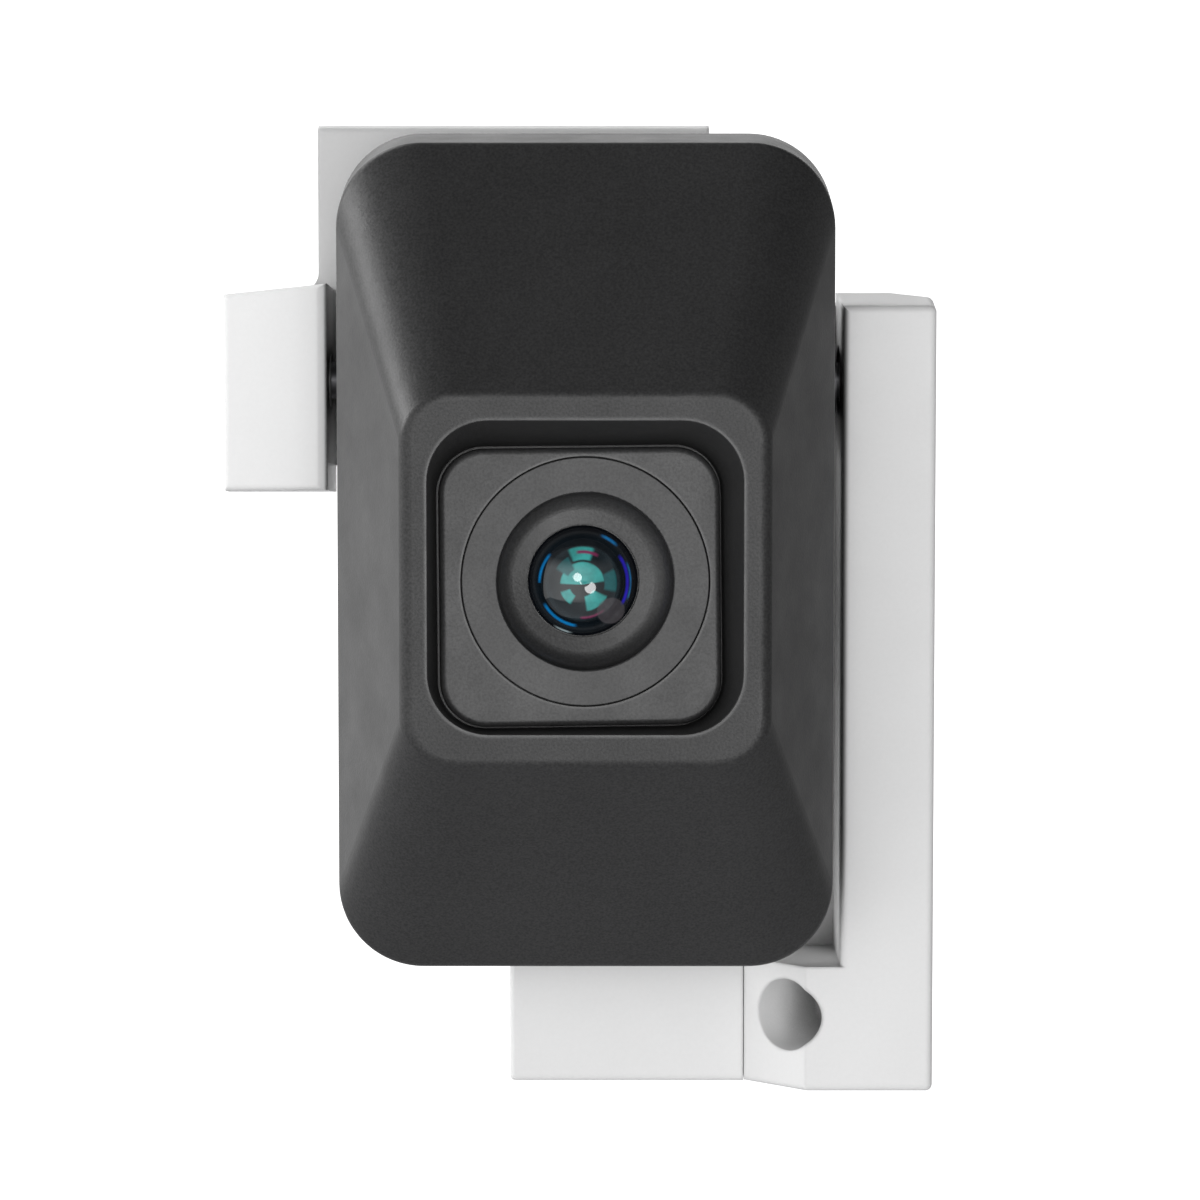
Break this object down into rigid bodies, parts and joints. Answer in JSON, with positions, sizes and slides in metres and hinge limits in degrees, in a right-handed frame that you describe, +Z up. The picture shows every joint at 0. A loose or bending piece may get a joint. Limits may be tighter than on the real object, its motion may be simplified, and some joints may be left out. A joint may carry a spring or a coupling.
{
  "type": "pan tilt camera mount",
  "caption": "Wall mounted pan and tilt bracket in white plastic with a black wedge-shaped camera head and a recessed lens.",
  "frame": {"origin": "centre of the wall plate's rear face, between its four screw holes", "axes": "+Z up, +X to the right of someone facing the lens, -Y out of the wall along the level line of sight"},
  "size_m": [0.057, 0.052, 0.0776],
  "materials": {
    "white_plastic": "satin",
    "black_plastic": "fine grain",
    "lens_plate": "satin",
    "lens_trim": "satin",
    "barrel": "black anodised",
    "lens_glass": "coated, polished",
    "steel": "zinc plated",
    "dark_bush": "dark acetal",
    "black_oxide": "black oxide",
    "bush": "sintered bronze",
    "board": "solder mask",
    "sensor": "ceramic package under glass"
  },
  "bodies": {
    "base": {"wall_plate": "white_plastic", "pan_pin": "steel", "pan_nut": "steel", "upper_pan_washer": "steel", "lower_pan_washer": "steel"},
    "yoke": {"left_bracket": "white_plastic", "right_bracket": "white_plastic", "lower_cover": "white_plastic", "bracket_screws": "black_oxide", "cover_screws": "black_oxide", "pan_bush": "bush", "left_tilt_bush": "dark_bush", "right_tilt_bush": "dark_bush"},
    "camera_head": {"front_housing": "black_plastic", "rear_housing": "black_plastic", "housing_screws": "black_oxide", "left_trunnion": "black_oxide", "right_trunnion": "black_oxide", "tilt_spring_washer": "black_oxide", "cable_socket": "steel", "lens_plate": "lens_plate", "lens_bezel": "lens_trim", "lens_barrel": "barrel", "front_lens": "lens_glass", "iris_ring": "barrel", "rear_lens": "lens_glass", "lens_holder": "black_plastic", "sensor_board": "board", "image_sensor": "sensor", "board_screws": "black_oxide"}
  },
  "joints": [
    {"name": "pan", "type": "hinge", "parent": "base", "child": "yoke", "pos_m": [0, -0.01, 0], "axis": [0, 0, 1], "range_deg": [-30, 30]},
    {"name": "tilt", "type": "hinge", "parent": "yoke", "child": "camera_head", "pos_m": [0, -0.0232, 0.017], "axis": [-1, 0, 0], "range_deg": [-6, 22]}
  ]
}
